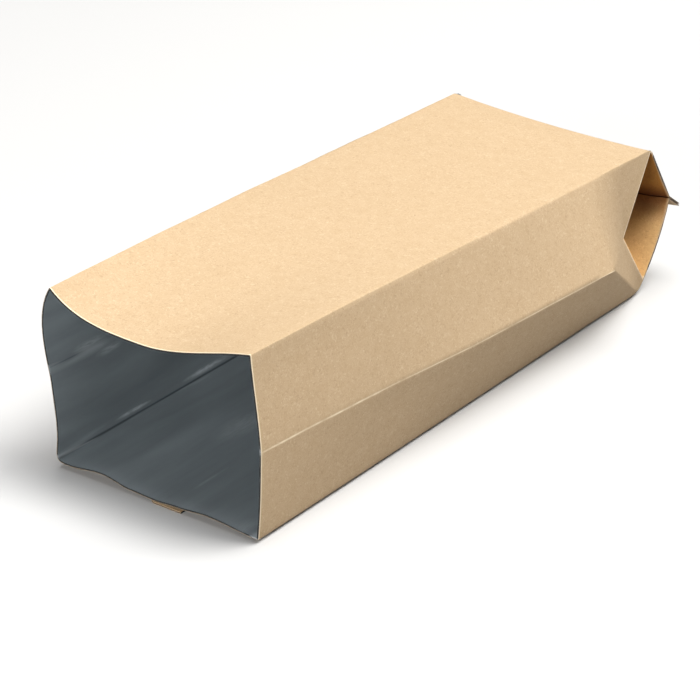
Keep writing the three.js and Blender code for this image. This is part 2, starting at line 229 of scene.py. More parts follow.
def gusset_path(y, side):
    """The web round one side at a station, from the front fold to the back one. Past the notch
    it runs in between the flaps and out again, which makes the side pocket."""
    front = np.array([PANEL_HALF, y, front_edge(y, side)])
    back = np.array([PANEL_HALF, y, back_edge(y)])
    front_corner = np.array([PANEL_HALF, FRONT_FOLD_Y, FOLD_TOP - side * LEAN_FOLD])
    inner = np.array([SEAL_INNER_X, SEAL_Y, sum(flap_inside(SEAL_Y, side)) / 2])
    ridge = crease(y) if y <= CREASE_END_Y else between(CREASE_END, NOTCH, y)
    facet = ridge if y <= CREASE_END_Y else between(CREASE_END, BACK_CORNER, y)
    if y > BACK_CORNER_Y:
        facet = back
    if y <= NOTCH[1]:
        upper = fold_front = middle = fold_back = lower = ridge
    else:
        inside_front, inside_back = flap_inside(y, side)
        upper = fold_front = between(NOTCH, front_corner, y)
        lower = fold_back = between(NOTCH, POCKET_CORNER, y)
        if y > FRONT_RIM_Y[side]:
            reach = share(y, FRONT_RIM_Y[side], SEAL_Y)
            upper = np.array([PANEL_HALF, y, inside_front])
            fold_front = np.array([mix(PANEL_HALF, SEAL_INNER_X, reach), y, inside_front])
        if y > BACK_RIM_Y:
            reach = share(y, BACK_RIM_Y, SEAL_Y)
            chord = mix(between(NOTCH, POCKET_CORNER, BACK_RIM_Y)[2], inner[2], reach)
            height = max(inside_back, chord) if y < SEAL_Y else inside_back
            lower = np.array([PANEL_HALF, y, inside_back])
            fold_back = np.array([mix(PANEL_HALF, SEAL_INNER_X, reach), y, height])
        middle = between(NOTCH, inner, y)
        if y >= SEAL_Y:
            middle = np.array([SEAL_INNER_X, y, (inside_front + inside_back) / 2])
    corners = (front, upper, fold_front, middle, fold_back, lower, facet, back)
    path = [mix(a, b, t) for a, b, (_, shares) in zip(corners, corners[1:], SIDE_STRETCHES)
            for t in shares[:-1]]
    return np.array(path + [back])


# The cut edge of the open mouth, as x and z: the front panel sags, the -x gusset bows out, and
# the back panel waves. A crease's end is its place on its gusset's two curves, from 0 to 2. The
# web takes on this shape over the first stretch of the bag.
MOUTH_RIGHT, MOUTH_LEFT, SAG_LOW = (37.8, 61.9), (-38.9, 61.4), (-3.0, 52.8)
SAG_RIGHT = (MOUTH_RIGHT, (24.2, 59.3), (11.1, 53.1), SAG_LOW)
SAG_LEFT = (SAG_LOW, (-15.2, 53.0), (-29.4, 52.6), MOUTH_LEFT)
EDGE_LEFT_UPPER = (MOUTH_LEFT, (-45.3, 52.1), (-42.7, 40.1), (-40.4, 30.0))
EDGE_LEFT_LOWER = ((-40.4, 30.0), (-39.8, 21.2), (-37.4, 12.2), (-40.2, 1.7))
EDGE_RIGHT_UPPER = (MOUTH_RIGHT, (38.7, 51.5), (40.6, 41.4), (41.2, 31.0))
EDGE_RIGHT_LOWER = ((41.2, 31.0), (41.0, 25.0), (40.9, 12.0), (39.6, 1.2))
CREASE_CUT_LEFT, CREASE_CUT_RIGHT = 0.88, 1.0
BACK_CUT_X = (-40.2, -35.0, -21.0, -10.0, 0.0, 9.0, 20.0, 39.6)
BACK_CUT_Z = (1.7, 1.6, 3.1, 1.4, 1.0, 1.6, 2.5, 1.2)
MOUTH_REACH = 130.0


def bezier(points, t):
    a, b, c, d = (np.array(p) for p in points)
    s = 1 - t
    return s ** 3 * a + 3 * s * s * t * b + 3 * s * t * t * c + t ** 3 * d


def gusset_cut(upper, lower, split):
    """A gusset's cut edge from front to back, with the pocket's lines all at the crease."""
    waist = 4 * (len(POCKET_STEPS) - 1) + len(FACET_STEPS) - 1
    shares = [split * t for t in GUSSET_STEPS[:-1]] + [split] * waist
    shares += [mix(split, 2, t) for t in GUSSET_STEPS]
    return [bezier(upper, t) if t < 1 else bezier(lower, t - 1) for t in shares]


def back_cut(x):
    """Height of the back panel's cut edge: smooth waves through the stated points."""
    i = min(len(BACK_CUT_X) - 2, max(0, np.searchsorted(BACK_CUT_X, x) - 1))
    t = smooth(share(x, BACK_CUT_X[i], BACK_CUT_X[i + 1]))
    return mix(BACK_CUT_Z[i], BACK_CUT_Z[i + 1], t)


def mouth_pull(y):
    """How much of the cut edge's shape the web has at a station."""
    return (1 - share(y, 0, MOUTH_REACH)) ** 2


# The web's own two edges meet in a seam a little to the -x side of the back panel's middle
SEAM_X = -1.5
PANEL_STEPS = stretch(34, 0.02)
SEAM_SHARE = (PANEL_HALF + SEAM_X) / (2 * PANEL_HALF)
BACK_RIGHT = [t for t in PANEL_STEPS if SEAM_SHARE + 0.005 < t < 1]
BACK_LEFT = [t for t in PANEL_STEPS if 0 < t < SEAM_SHARE - 0.005]


def web_ring(y):
    """One turn round the bag, from the seam in the back panel to +x, up, over and back."""
    right, left = gusset_path(y, 1), gusset_path(y, -1) * (-1, 1, 1)

    def behind(shares):
        flat = [mix(left[-1], right[-1], t) for t in shares]
        cut_x = [mix(BACK_CUT_X[0], BACK_CUT_X[-1], t) for t in shares]
        return [p + (0, 0, back_arch(p[0], y)) for p in flat], [(x, back_cut(x)) for x in cut_x]

    first, first_cut = behind([SEAM_SHARE] + BACK_RIGHT)
    last, last_cut = behind(BACK_LEFT)
    over = [mix(right[0], left[0], t) for t in PANEL_STEPS[1:-1]]
    over_cut = [bezier(SAG_RIGHT, 2 * t) if t < 0.5 else bezier(SAG_LEFT, 2 * t - 1)
                for t in PANEL_STEPS[1:-1]]
    right_cut = gusset_cut(EDGE_RIGHT_UPPER, EDGE_RIGHT_LOWER, CREASE_CUT_RIGHT)
    left_cut = gusset_cut(EDGE_LEFT_UPPER, EDGE_LEFT_LOWER, CREASE_CUT_LEFT)
    ring = np.array(first + list(right[::-1]) + over + list(left) + last)
    cut = np.array(first_cut + right_cut[::-1] + over_cut + left_cut + last_cut)
    ring[:, 0] = mix(ring[:, 0], cut[:, 0], mouth_pull(y))
    ring[:, 2] = mix(ring[:, 2], cut[:, 1], mouth_pull(y))
    return ring


# Where the four long folds lie across the flat web, measured from the seam
RIGHT_BACK_FLAT = PANEL_HALF - SEAM_X
RIGHT_FRONT_FLAT = RIGHT_BACK_FLAT + 2 * GUSSET_HALF
LEFT_FRONT_FLAT = RIGHT_FRONT_FLAT + 2 * PANEL_HALF
LEFT_BACK_FLAT = LEFT_FRONT_FLAT + 2 * GUSSET_HALF
LONG_FOLDS = (RIGHT_BACK_FLAT, RIGHT_FRONT_FLAT, LEFT_FRONT_FLAT, LEFT_BACK_FLAT)
WEB_WIDTH = 4 * (PANEL_HALF + GUSSET_HALF)


def ring_lines():
    """For each line round the bag, the stretch of web that begins there, and where the line
    lies across the flat web."""
    side = [(name, mix(a, b, t))
            for (name, shares), a, b in zip(SIDE_STRETCHES, SIDE_FLATS, SIDE_FLATS[1:])
            for t in shares[:-1]] + [("back", SIDE_FLATS[-1])]
    names, flats = [name for name, _ in side], [flat for _, flat in side]
    backwards = names[-2::-1] + ["front"]
    lines = [("back", 2 * PANEL_HALF * (t - SEAM_SHARE)) for t in [SEAM_SHARE] + BACK_RIGHT]
    lines += [(name, RIGHT_FRONT_FLAT - flat) for name, flat in zip(backwards, flats[::-1])]
    lines += [("front", RIGHT_FRONT_FLAT + 2 * PANEL_HALF * t) for t in PANEL_STEPS[1:-1]]
    lines += [(name, LEFT_FRONT_FLAT + flat) for name, flat in side]
    lines += [("back", LEFT_BACK_FLAT + 2 * PANEL_HALF * t) for t in BACK_LEFT]
    return [name for name, _ in lines], np.array([flat for _, flat in lines])


def web_stations():
    """Where the rings stand along the bag: closer at the mouth, at every fold and in the seal."""
    stops = [0, 0.5, 1.2, 2.4, 4.5, 7]
    stops += list(np.arange(9.5, 172, 2.75)) + [CREASE_END_Y]
    stops += list(np.arange(176, 195, 2.0)) + [NOTCH[1]]
    stops += list(np.arange(197, 209, 1.2)) + [BACK_CORNER_Y, 210.5, BACK_FOLD_Y, 212.3]
    stops += [BACK_RIM_Y, POCKET_CORNER_Y, FRONT_RIM_Y[-1], FRONT_RIM_Y[1], FRONT_FOLD_Y]
    stops += [215.5, 216.1] + list(np.arange(217, SEAL_Y - 0.9, 1.1))
    stops += [SEAL_Y - 0.5, SEAL_Y - 0.2, SEAL_Y, SEAL_Y + 0.4]
    stops += list(np.arange(230, 235, 1.3)) + [TIP_Y - 0.3, TIP_Y]
    return sorted(float(stop) for stop in stops)


stations = web_stations()
web = np.array([web_ring(y) for y in stations])
line_names, flat_across = ring_lines()
flat_along = np.interp(stations, [0, BACK_ROUND_Y, FRONT_FOLD_Y, SEAL_Y, TIP_Y],
                       [0, BACK_ROUND_Y, 217.5, 241.5, 250])
fold_columns = [i for i, flat in enumerate(flat_across)
                if min(abs(flat - fold) for fold in LONG_FOLDS) < 1e-6]


def ease_corner(column, spread, turns):
    """Rounds the mouth's lower -x corner, where the paper turns without a sharp fold."""
    for row, y in enumerate(stations):
        strength = (1 - share(y, 0, 45)) ** 1.5
        near = np.arange(column - spread, column + spread + 1)
        pull = 0.5 * strength * (1 - (np.abs(near - column) / (spread + 1)) ** 2)
        for _ in range(turns):
            halfway = (web[row, near - 1] + web[row, near + 1]) / 2
            web[row, near] += pull[:, None] * (halfway - web[row, near])


ease_corner(fold_columns[3], spread=2, turns=3)

BACK_FOLD_RADIUS, CRISP_RADIUS, SOFT_RADIUS = 0.55, 0.5, 1.3
BESIDE_FOLD = 0.6


def front_fold_radius(y):
    """The front folds are soft, but crisp at the cut mouth and at the bottom."""
    soft = smooth(share(y, 3, 45)) * (1 - smooth(share(y, 195, 212)))
    return CRISP_RADIUS + (SOFT_RADIUS - CRISP_RADIUS) * soft


def round_folds():
    """Turns each long fold over its small radius: its one line becomes three."""
    front_radius = np.array([[front_fold_radius(y)] for y in stations])
    lines, names, flats, start = [], [], [], 0
    for column, front in zip(fold_columns, (False, True, True, False)):
        radius = front_radius if front else np.full_like(front_radius, BACK_FOLD_RADIUS)
        corner = web[:, column]
        arms = [web[:, column - 1] - corner, web[:, column + 1] - corner]
        reach = [np.maximum(np.linalg.norm(arm, axis=1, keepdims=True), 1e-6) for arm in arms]
        turn = np.minimum(radius, 0.45 * np.minimum(*reach))
        one, two = (corner + arm / size * turn for arm, size in zip(arms, reach))
        crown = (one + 3 * corner + two) / 5
        lines += [web[:, start:column]] + [p[:, None] for p in (one, crown, two)]
        names += line_names[start:column] + ["fold", "fold", line_names[column]]
        flats += list(flat_across[start:column])
        flats += [flat_across[column] + beside for beside in (-BESIDE_FOLD, 0, BESIDE_FOLD)]
        start = column + 1
    return (np.concatenate(lines + [web[:, start:]], axis=1), names + line_names[start:],
            np.array(flats + list(flat_across[start:])))


web, line_names, flat_across = round_folds()
for row in range(len(stations)):
    for column in range(len(line_names)):
        web[row, column] = bend_seal(*web[row, column])

WELD_SIZE = 2e-3


def weld_web():
    """Welds lines that lie on each other, and lists the faces of the web's outer side."""
    keys = np.round(web.reshape(-1, 3) / WELD_SIZE).astype(np.int64)
    _, first, index = np.unique(keys, axis=0, return_index=True, return_inverse=True)
    index = index.reshape(web.shape[:2])
    faces = []
    for row in range(len(stations) - 1):
        for column in range(len(line_names)):
            following = (column + 1) % len(line_names)
            corners = (index[row, column], index[row + 1, column], index[row + 1, following],
                       index[row, following])
            kept = [c for i, c in enumerate(corners) if c != corners[i - 1]]
            if len(set(kept)) >= 3:
                faces.append(kept)
    return web.reshape(-1, 3)[first], index, faces


web_points, point_at, web_faces = weld_web()
row_of = np.zeros(len(web_points), int)
column_of = np.zeros(len(web_points), int)
for row in range(len(stations) - 1, -1, -1):
    for column in range(len(line_names)):
        row_of[point_at[row, column]] = row
        column_of[point_at[row, column]] = column

STEADYING, LONGEST_MOVE = 1e-3, 1.8


def wall_directions(points, faces):
    """For each point, the way and distance to move so that every face there moves in by one."""
    grid = np.zeros((len(points), 3, 3)) + np.eye(3) * STEADYING
    target = np.zeros((len(points), 3))
    for face in faces:
        for i, corner in enumerate(face):
            p = points[corner]
            a, b = points[face[(i + 1) % len(face)]] - p, points[face[i - 1]] - p
            normal = np.cross(a, b)
            size = np.linalg.norm(normal)
            if size < 1e-7:
                continue
            normal /= size
            angle = math.atan2(size, a @ b)
            grid[corner] += angle * np.outer(normal, normal)
            target[corner] += angle * normal
    moves = np.linalg.solve(grid, target[:, :, None])[:, :, 0]
    size = np.linalg.norm(moves, axis=1, keepdims=True)
    return moves * np.minimum(1, LONGEST_MOVE / np.maximum(size, 1e-6))


BROAD_WAVE, FINE_WAVE, WAVES_PER_MM = 0.34, 0.10, 0.028


def soft_wave(p, y):
    """The paper is never quite flat: long shallow waves, none at the floor or in the seal."""
    q = Vector(p) * WAVES_PER_MM
    broad = noise.noise(q + Vector((3.1, 7.7, 1.3)))
    fine = noise.noise(q * 3.1 + Vector((9.4, 2.2, 5.8)))
    free = (1 - share(y, 190, 205)) * share(p[2], 2, 12) * share(y, 0, 8)
    return (BROAD_WAVE * broad + FINE_WAVE * fine) * free


inwards = wall_directions(web_points, web_faces)
for i, point in enumerate(web_points):
    unit = inwards[i] / max(1e-6, np.linalg.norm(inwards[i]))
    web_points[i] = point + unit * soft_wave(point, stations[row_of[i]])


# How deep the laminate may lie under the web's outer face: anywhere, in a single web at the
# seal, and where a doubled flap and the web tucked between the flaps are pressed together
FREE_ROOM, SEALED_ROOM, DOUBLED_ROOM, TUCKED_ROOM = 3.0, 0.43, 0.14, 0.12


def wall_room():
    """The room at each point: less towards the seal, where four webs lie on each other."""
    room = np.full(len(web_points), FREE_ROOM)
    for i, (row, column) in enumerate(zip(row_of, column_of)):
        y, name, x = stations[row], line_names[column], abs(web_points[i][0])
        single = SEALED_ROOM if y > SEAL_Y - 0.5 else 0.3 + 0.3 * (SEAL_Y - y)
        doubled = mix(0.46 * FLAP_THICK, DOUBLED_ROOM, pressed(y))
        if name == "wall":
            room[i] = mix(0.6, TUCKED_ROOM, pressed(y)) if y > 205 else FREE_ROOM
        elif y > POCKET_CORNER_Y:
            lined = mix(PANEL_HALF, SEAL_INNER_X, share(y, FRONT_FOLD_Y, SEAL_Y)) - 0.8
            room[i] = doubled if x > lined or name in ("pocket", "fold") else single
    return room


# The layers' depths under the web's outer face. Paper and film meet less deep right at the cut
# mouth, so that the film's dark edge shows inside the paper's pale one.
KRAFT_DEPTH, FILM_DEPTH = 0.36, 0.68
CUT_THINNING, CUT_REACH = 0.2, 4.0
room_under = wall_room()


def mesh_in_frame(name, points, faces):
    """A mesh from points in these millimetres, in the part's frame: metres, from its middle."""
    mesh = bpy.data.meshes.new(name)
    placed = (np.array(points) - (0, TIP_Y / 2, 0)) * 0.001
    mesh.from_pydata(placed.tolist(), [], [[int(corner) for corner in face] for face in faces])
    return mesh


def layer_mesh(name, outer_depth, inner_depth):
    """One closed layer of the laminate, between two depths. Its cut rims take finish 1, and its
    flat_web map is its place on the flat web in metres."""
    def at(depth):
        if KRAFT_DEPTH <= depth < FILM_DEPTH:
            in_from_cut = np.clip(np.array(stations)[row_of] / CUT_REACH, 0, 1)
            depth = depth - CUT_THINNING * (1 - in_from_cut)
        return web_points - inwards * np.minimum(depth, room_under * depth / FILM_DEPTH)[:, None]

    count = len(web_points)
    faces = web_faces + [[corner + count for corner in face[::-1]] for face in web_faces]
    cut_from = len(faces)
    for row, turned in ((0, False), (len(stations) - 1, True)):
        loop = [c for i, c in enumerate(point_at[row]) if c != point_at[row][i - 1]]
        for i, c in enumerate(loop):
            d = loop[(i + 1) % len(loop)]
            rim = [c, d, d + count, c + count]
            faces.append(rim[::-1] if turned else rim)
    mesh = mesh_in_frame(name, np.concatenate([at(outer_depth), at(inner_depth)]), faces)
    for polygon in mesh.polygons[cut_from:]:
        polygon.material_index = 1
    flat = mesh.uv_layers.new(name="flat_web")
    u, v = flat_across[column_of] * 0.001, flat_along[row_of] * 0.001
    halfway_round = 0.0005 * flat_across[-1]
    for polygon in mesh.polygons:
        corners = [mesh.loops[k].vertex_index % count for k in polygon.loop_indices]
        wraps = max(u[c] for c in corners) - min(u[c] for c in corners) > halfway_round
        for k, c in zip(polygon.loop_indices, corners):
            turn = WEB_WIDTH * 0.001 if wraps and u[c] < halfway_round else 0
            flat.data[k].uv = (u[c] + turn, v[c])
    mesh.shade_smooth()
    mesh.set_sharp_from_angle(angle=math.radians(48))
    return mesh


def nearness(points, lines, reach):
    """How near each point is to any of the lines, in mm short of reach; 0 is far, or no value.
    Each line comes with a distance that is added, which makes it narrower."""
    distance = np.full(len(points), reach)
    for line, added in lines:
        for a, b in zip(line[:-1], line[1:]):
            t = np.clip((points - a) @ (b - a) / ((b - a) @ (b - a)), 0, 1)
            away = np.linalg.norm(points - a - t[:, None] * (b - a), axis=1)
            distance = np.minimum(distance, away + added)
    return reach - distance


def fold_line(across, first, last, depth=0.0):
    """Points of one line of the web between two stations, at a depth under the outer face."""
    column = np.argmin(np.abs(flat_across - across))
    spots = [point_at[row, column] for row, y in enumerate(stations) if first <= y <= last]
    spots = [spot for i, spot in enumerate(spots) if i == 0 or spot != spots[i - 1]]
    return [web_points[spot] - inwards[spot] * depth for spot in spots]


def scuffed_and_highlit_folds():
    """The folds where the paper shows worn pale fibre and a painted highlight: the gusset creases,
    more by the mouth, and the pockets' two rims."""
    lines = []
    for flat, first, last, added in ((CREASE_FLAT, 0, 55, -0.04),
                                     (CREASE_FLAT, 50, CREASE_END_Y, 0.06),
                                     (CREASE_FLAT, NOTCH[1], FRONT_FOLD_Y, -0.12),
                                     (POCKET_END_FLAT, NOTCH[1], POCKET_CORNER_Y, -0.12)):
        for across in (RIGHT_FRONT_FLAT - flat, LEFT_FRONT_FLAT + flat):
            lines.append((fold_line(across, first, last), added))
    return lines


def pocket_painted_light_places():
    """For each point, how much of the pockets' painted light and shade it takes: on a side pocket's
    upper flap, on its lower flap, and deep in it, 0 to 1.
    """
    rim = 0.004
    grid = np.zeros(web.shape)
    for column, across in enumerate(flat_across):
        left = across >= RIGHT_FRONT_FLAT
        flat = across - LEFT_FRONT_FLAT if left else RIGHT_FRONT_FLAT - across
        inside = min(1.0, (flat - CREASE_FLAT) / rim, (POCKET_END_FLAT - flat) / rim)
        if inside <= 0:
            continue
        upper = flat < POCKET_DEEP_FLAT
        for row, y in enumerate(stations):
            if NOTCH[1] < y:
                deep = max(0.1 - abs(flat - POCKET_DEEP_FLAT), smooth(share(y, 224, SEAL_Y)))
                grid[row, column] = (inside * upper, inside * (not upper), inside * deep)
    places = np.ones((len(web_points), 3))
    np.minimum.at(places, point_at, grid)
    return places


def new_material(name):
    material = bpy.data.materials.new(name)
    material.use_nodes = True
    tree = material.node_tree
    return material, tree, tree.nodes["Principled BSDF"]


def node(tree, kind, inputs=None, **settings):
    """A new node; each of its inputs is given a value, or the socket that feeds it."""
    made = tree.nodes.new(kind)
    for key, value in settings.items():
        setattr(made, key, value)
    for key, value in (inputs or {}).items():
        if isinstance(value, bpy.types.NodeSocket):
            tree.links.new(value, made.inputs[key])
        else:
            made.inputs[key].default_value = value
    return made


def ranged(tree, value, low, high, to_low=0.0, to_high=1.0):
    """Takes low to high on to to_low to to_high, and holds it there beyond them."""
    return node(tree, "ShaderNodeMapRange", {"Value": value, "From Min": low, "From Max": high,
                                             "To Min": to_low, "To Max": to_high}).outputs[0]


def counted(tree, how, a, b):
    return node(tree, "ShaderNodeMath", {0: a, 1: b}, operation=how).outputs[0]


def tinted(tree, amount, first, second, how="MIX"):
    """A colour from first to second; the mix's colour sockets are 6 and 7, and 2 going out."""
    return node(tree, "ShaderNodeMix", {0: amount, 6: first, 7: second}, data_type="RGBA",
                blend_type=how).outputs[2]


def clouded(tree, place, scale, detail=2.0, roughness=0.5, distortion=0.0):
    """Noise that changes smoothly from place to place, between 0 and 1."""
    return node(tree, "ShaderNodeTexNoise", {"Vector": place, "Scale": scale, "Detail": detail,
                                             "Roughness": roughness,
                                             "Distortion": distortion}).outputs["Fac"]


def stored(tree, name, output="Fac"):
    return node(tree, "ShaderNodeAttribute", attribute_name=name).outputs[output]


def raised(tree, height, strength, distance):
    return node(tree, "ShaderNodeBump", {"Height": height, "Strength": strength,
                                         "Distance": distance}).outputs[0]


def kraft_fibre_group():
    """Colour and relief of kraft paper: mottled pulp with fine fibres along the web, short
    shreds that are darker or paler, and a few flecks of each kind."""
    group = bpy.data.node_groups.new("kraft_fibres", "ShaderNodeTree")
    face = group.interface
    face.new_socket("Position", in_out="INPUT", socket_type="NodeSocketVector")
    for name, value in (("Light pulp", (0.46, 0.34, 0.21, 1)), ("Dark pulp", (0.43, 0.31, 0.18, 1)),
                        ("Fleck", (0.25, 0.16, 0.08, 1)), ("Pale fleck", (0.62, 0.50, 0.35, 1))):
        face.new_socket(name, in_out="INPUT", socket_type="NodeSocketColor").default_value = value
    face.new_socket("Colour", in_out="OUTPUT", socket_type="NodeSocketColor")
    face.new_socket("Height", in_out="OUTPUT", socket_type="NodeSocketFloat")
    inside, out = group.nodes.new("NodeGroupInput"), group.nodes.new("NodeGroupOutput")
    place = inside.outputs["Position"]

    cloud = clouded(group, place, 240.0, 6.0, 0.68)
    drawn = node(group, "ShaderNodeMapping", {"Vector": place, "Scale": (2400.0, 1100.0, 2400.0)})
    fibre = clouded(group, drawn.outputs[0], 1.0, 3.0, 0.6, 0.6)
    tone = counted(group, "ADD", cloud, fibre)
    colour = tinted(group, ranged(group, tone, 0.72, 1.28), inside.outputs["Dark pulp"],
                    inside.outputs["Light pulp"])
    shreds = clouded(group, place, 820.0, 2.0, 0.5, 2.4)
    for start, full, tint in ((0.57, 0.70, "Fleck"), (0.43, 0.31, "Pale fleck")):
        shred = ranged(group, shreds, start, full, 0.0, 0.36)
        colour = tinted(group, shred, colour, inside.outputs[tint])
    for offset, scale, tint in (((0.0, 0.0, 0.0), 620.0, "Fleck"),
                                ((0.7, 0.3, 0.5), 560.0, "Pale fleck")):
        shift = node(group, "ShaderNodeVectorMath", {0: place, 1: offset}, operation="ADD")
        cells = node(group, "ShaderNodeTexVoronoi", {"Vector": shift.outputs[0], "Scale": scale})
        spots = ranged(group, cells.outputs["Distance"], 0.30, 0.08, 0.0, 0.34)
        chosen = ranged(group, clouded(group, shift.outputs[0], 210.0), 0.58, 0.68)
        colour = tinted(group, counted(group, "MULTIPLY", spots, chosen), colour,
                        inside.outputs[tint])
    group.links.new(colour, out.inputs["Colour"])
    group.links.new(tone, out.inputs["Height"])
    return group


# Painted light and shade in a side pocket, multiplied into the paper: shade on its upper flap,
# warm bounce light on its lower flap, and deeper shade deep inside
POCKET_PAINTED_LIGHT = {"X": (0.65, 0.40, 0.13, 1), "Y": (1.27, 1.10, 0.78, 1), "Z": (0.34, 0.22, 0.14, 1)}
# Pale of worn fibre at the folds and the cut edge, which also stands for a painted highlight there
PALE_FIBRE_AND_HIGHLIGHT = (0.80, 0.68, 0.49, 1)
SCUFF_AND_HIGHLIGHT_REACH = 5.0
kraft_fibres = kraft_fibre_group()


def kraft_material(name, light, dark, scuffed_and_highlit):
    """Kraft paper; the last argument is how strongly its worn folds and its cut edge show pale
    fibre and a painted highlight.
    """
    material, tree, shader = new_material(name)
    place = node(tree, "ShaderNodeTexCoord").outputs["Object"]
    fibres = node(tree, "ShaderNodeGroup", {"Position": place, "Light pulp": light,
                                            "Dark pulp": dark}, node_tree=kraft_fibres)
    # Painted highlight together with worn pale fibre, on the creases, the pocket rims and the cut
    # mouth
    scuff_and_highlight = ranged(tree, stored(tree, "fold_nearness"), SCUFF_AND_HIGHLIGHT_REACH - 0.42, SCUFF_AND_HIGHLIGHT_REACH - 0.08,
                   0.0, scuffed_and_highlit)
    uneven = ranged(tree, clouded(tree, place, 160.0, 4.0), 0.3, 0.65, 0.15)
    frayed_and_highlit = ranged(tree, stored(tree, "cut_nearness"), 0.55, 0.75, 0.0, scuffed_and_highlit * 1.2)
    pale = counted(tree, "MAXIMUM", counted(tree, "MULTIPLY", scuff_and_highlight, uneven), frayed_and_highlit)
    # Painted light and shade in the side pockets: darker upper flap, lighter lower flap, dark
    # crevice
    pocket = node(tree, "ShaderNodeSeparateXYZ", {0: stored(tree, "pocket_painted_light_and_shade", "Vector")})
    colour = fibres.outputs["Colour"]
    for axis, shade in POCKET_PAINTED_LIGHT.items():
        colour = tinted(tree, pocket.outputs[axis], colour, shade, "MULTIPLY")
    colour = tinted(tree, pale, colour, PALE_FIBRE_AND_HIGHLIGHT)
    tree.links.new(colour, shader.inputs["Base Color"])
    tree.links.new(raised(tree, fibres.outputs["Height"], 0.35, 0.00012), shader.inputs["Normal"])
    shader.inputs["Roughness"].default_value = 0.82
    shader.inputs["Specular IOR Level"].default_value = 0.25
    return material


def add_to_scene(name, data):
    made = bpy.data.objects.new(name, data)
    bpy.context.scene.collection.objects.link(made)
    return made


def store_values(piece, name, values):
    """Keeps one value for each point of the web, on both faces of a layer."""
    made = piece.data.attributes.new(name, "FLOAT", "POINT")
    made.data.foreach_set("value", np.tile(values.astype(np.float32), 2))


kraft = kraft_material("kraft_paper", (0.462, 0.340, 0.213, 1), (0.428, 0.307, 0.182, 1), 0.8)
kraft_cut = kraft_material("kraft_cut_edge", (0.30, 0.24, 0.17, 1), (0.22, 0.17, 0.12, 1), 0.0)
# Painted shade, near black, for the slit at the ends of the flaps and the seal
seal_end_shade = kraft_material("kraft_seal_end_painted_shade", (0.075, 0.060, 0.050, 1), (0.045, 0.038, 0.034, 1),
                          0.0)
kraft_paper = add_to_scene("kraft_paper", layer_mesh("kraft_paper", 0, KRAFT_DEPTH))
store_values(kraft_paper, "fold_nearness", nearness(web_points, scuffed_and_highlit_folds(), SCUFF_AND_HIGHLIGHT_REACH))
store_values(kraft_paper, "cut_nearness", np.maximum(0, 1 - np.array(stations)[row_of]))
# Where each point takes the pockets' painted light and shade
pockets = kraft_paper.data.attributes.new("pocket_painted_light_and_shade", "FLOAT_VECTOR", "POINT")
pockets.data.foreach_set("vector", np.tile(pocket_painted_light_places(), (2, 1)).astype(np.float32).ravel())

# The cut ends of the flaps and of the seal are coloured near black, as painted shade of the slit
# between them with some dark film, from 1 mm past the bottom fold at +x, and from 4 mm past it at
# -x
for polygon in kraft_paper.data.polygons:
    x, y, _ = polygon.center * 1000
    dark_from = FRONT_FOLD_Y + (1 if x > 0 else 4) - TIP_Y / 2
    if y > dark_from and abs(x) > PANEL_HALF - 1 and abs(polygon.normal.x) > 0.5:
        polygon.material_index = 2
for finish in (kraft, kraft_cut, seal_end_shade):
    kraft_paper.data.materials.append(finish)
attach(kraft_paper, "root")
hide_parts("kraft_shell")

# -----------------------------------------------------------------------------
# Film lining, the web's inner layer: slate grey barrier film laminated to the paper. It shows all
# over the inside and as a dark line inside the cut mouth, and it creases at the folds, where it
# takes painted shade in each crease and painted highlights beside it.
# -----------------------------------------------------------------------------

# Painted highlights: glints where the film's folds and wrinkles catch the light, in mm on the flat
# web: across it, from and to along it, half width, and how pale. Most lie beside a fold.
PAINTED_GLINTS = ((239.0, 27, 46, 0.9, 1.0), (239.0, 60, 87, 1.15, 1.0), (210.2, 10, 29, 2.0, 0.50),
                (215.2, 21, 36, 1.5, 0.50), (274.0, 36, 66, 5.5, 0.28), (7.8, 8, 29, 0.8, 0.25),
                (34.2, -2, 9, 3.0, 0.18), (44.1, 48, 70, 0.8, 0.8), (71.0, 20, 40, 1.6, 0.5))
# Painted shade in the folds' grooves, and the pale of the painted glints
GROOVE_SHADE, GLINT_GREY = (0.018, 0.022, 0.026, 1), (0.60, 0.65, 0.68, 1)
FILM_REACH = 6.0


